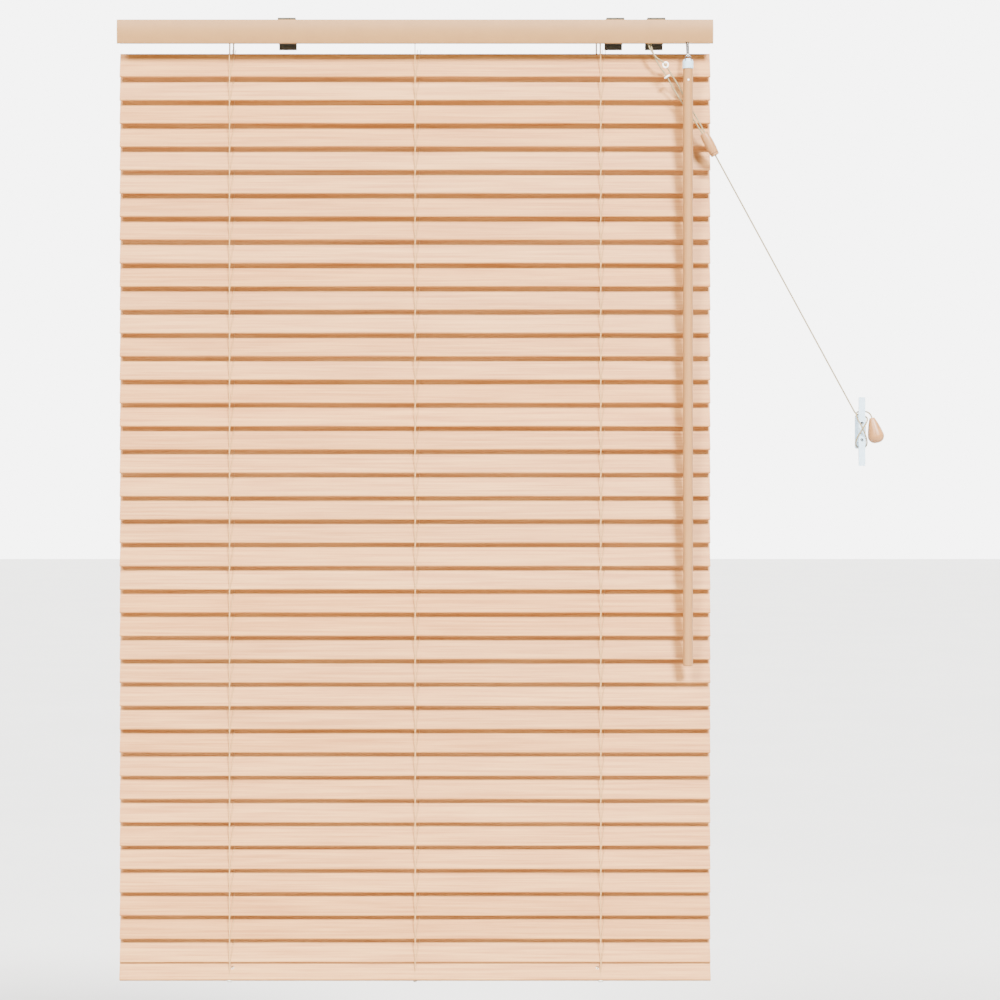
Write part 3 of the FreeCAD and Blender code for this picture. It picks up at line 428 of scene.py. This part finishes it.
def rungs():
    """On every slat, a thread over it and one under it at each ladder, slanting along the slat."""
    lift = SLAT_HALF_THICK + RUNG_RADIUS + RUNG_GAP
    stations = [
        (-STRING_OFFSET, 0.0), (-SLAT_HALF - EDGE_OUT, EDGE_LIFT * lift), (-SLAT_HALF + EDGE_IN, lift),
        (0.0, lift),
        (SLAT_HALF - EDGE_IN, lift), (SLAT_HALF + EDGE_OUT, EDGE_LIFT * lift), (STRING_OFFSET, 0.0)]
    for number, name in enumerate(slat_names):
        axis_height = FIRST_SLAT - number * PITCH
        routes = []
        for place in LADDERS:
            for way, slant in ((1, OVER_SLANT), (-1, UNDER_SLANT)):
                route = []
                for across, off in stations:
                    share = (across + STRING_OFFSET) / (2 * STRING_OFFSET)
                    local = ACROSS * across + SQUARE_ON * (way * off)
                    route.append(row(place + slant * share, local.y, axis_height + local.z))
                routes.append(route)
        piece = line_piece(f"rungs_{number + 1:02d}", routes, RUNG_RADIUS, thread, nurbs=False)
        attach(piece, name)


def to_mesh(piece):
    """The curve piece as a mesh of the same name."""
    name = piece.name
    shape = bpy.data.meshes.new_from_object(piece.evaluated_get(bpy.context.evaluated_depsgraph_get()))
    bpy.data.objects.remove(piece)
    made = bpy.data.objects.new(name, shape)
    bpy.context.scene.collection.objects.link(made)
    return made


RUN_RADIUS = STRING_RADIUS - 0.05
RUN_RISE = 7.0                   # from the rear strings' tops at rest up to the drums


def drum_runs():
    """The ladders' runs between the drums and the strings. On the real blind the front ones shorten as the
    rod turns; here each front one only gets a mesh of its own.
    """
    edge = STRING_OFFSET * math.cos(TILT)
    upper_end = STRING_TOP + RUN_RISE
    lower_end = STRING_TOP - TRAVEL
    for number, place in enumerate(LADDERS, start=1):
        for label, y in (("front", -edge), ("rear", edge)):
            heights = (upper_end, (upper_end + lower_end) / 2, lower_end)
            route = [row(place, y, height) for height in heights]
            line = line_piece(f"drum_run_{label}_{number}", [route], RUN_RADIUS, thread, nurbs=False)
            piece = to_mesh(line)
            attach(piece, ROOT)
            if label == "front":
                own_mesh(piece)


# ---------------------------------------------------------------- small fittings
INTO_ROOM = (0, -1, 0)
WAND_X, WAND_Y, WAND_TOP, WAND_RADIUS = 274.1, -20.5, -26.2, 5.0
PIN_DROP, PIN_SUNK = 12, 0.4     # below the wand's top, and into its side
HOLE_INWARD = 3.0                # the bottom rail's cord holes, from the outer ladders
KNOT_START = 1.6                 # a cord end's lower face, from the rail's middle
PLUG_SUNK = 0.6
BASE_STRING_RADIUS = STRING_RADIUS - 0.08
BASE_STRING_GAP = 0.05
JOINER_LINE_UP = 2.6             # from the joiner's lower end
SCREW_OUT = 9.4                  # the screws' heads, from the wall
SCREW_DROPS = (8.5, -8.5)


def wand_pin():
    """The small pin near the wand's top."""
    place = row(WAND_X, WAND_Y - WAND_RADIUS + PIN_SUNK, WAND_TOP - PIN_DROP)
    pin = button("wand_pin", ring_plastic, place, INTO_ROOM, radius=1.0, height=0.9, bevel=0.25)
    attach(pin, "wand")


def base_point(x, local):
    """The point of the row frame that lies at local from the bottom rail's middle line, at x along it."""
    return row(x, local.y, BASE_AXIS + local.z)


def base_plugs():
    """A plug under each ladder in the bottom rail's lower edge, and a cord end in each of its two holes."""
    for number, place in enumerate(LADDERS, start=1):
        middle = place == 0
        radius, material = (1.7, dark_plug) if middle else (2.8, plug_plastic)
        edge = base_point(place, ACROSS * -(BASE_HALF - PLUG_SUNK))
        plug = button(f"base_plug_{number}", material, edge, -ACROSS, radius, height=2.0, bevel=0.5)
        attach(plug, "bottom_rail")
        if middle:
            continue
        hole = base_point(place - math.copysign(HOLE_INWARD, place), SQUARE_ON * KNOT_START)
        knot = button(f"cord_end_{number}", thread, hole, SQUARE_ON, radius=0.95, height=1.8, bevel=0.4)
        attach(knot, "bottom_rail")


def base_strings():
    """The ladders' last stretch over the bottom rail's face, round its lower edge."""
    face = BASE_THICK / 2 + BASE_STRING_GAP
    stations = [(-3.9, face + 0.1), (-10.8, face), (-BASE_HALF - 0.1, 0.6 * face), (-BASE_HALF - 0.4, 0.0)]
    for number, place in enumerate(LADDERS, start=1):
        route = [base_point(place, ACROSS * across + SQUARE_ON * off) for across, off in stations]
        piece = line_piece(f"base_string_{number}", [route], BASE_STRING_RADIUS, thread)
        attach(piece, "bottom_rail")


def joiner_line():
    """The dark line turned round the joiner near its lower end."""
    line_at = JOINER_TOP + JOINER_WAY * (JOINER_LENGTH - JOINER_LINE_UP)
    line = ring("joiner_line", dark_brown, row(*line_at), JOINER_WAY, major=4.42, minor=0.22)
    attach(line, ROOT)


def cleat_screws():
    """The heads of the cleat's two screws."""
    for number, drop in enumerate(SCREW_DROPS, start=1):
        place = row(CLEAT.x, CLEAT.y - SCREW_OUT, CLEAT.z + drop)
        screw = button(f"cleat_screw_{number}", nickel, place, INTO_ROOM, radius=1.6, height=1.2, bevel=0.4)
        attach(screw, ROOT)


# ---------------------------------------------------------------- floor
FLOOR_BELOW, FLOOR_HALF = 0.25, 30.0


def studio_floor():
    """A wide pale floor a little below the blind."""
    height = cad_box[0][2] - FLOOR_BELOW
    corners = [(x * FLOOR_HALF, y * FLOOR_HALF, height) for x, y in ((-1, -1), (1, -1), (1, 1), (-1, 1))]
    data = bpy.data.meshes.new("floor")
    data.from_pydata(corners, [], [(0, 1, 2, 3)])
    data.materials.append(floor_paint)
    floor = bpy.data.objects.new("floor", data)
    bpy.context.scene.collection.objects.link(floor)


pull_cords()
rungs()
drum_runs()
wand_pin()
base_plugs()
base_strings()
joiner_line()
cleat_screws()
studio_floor()
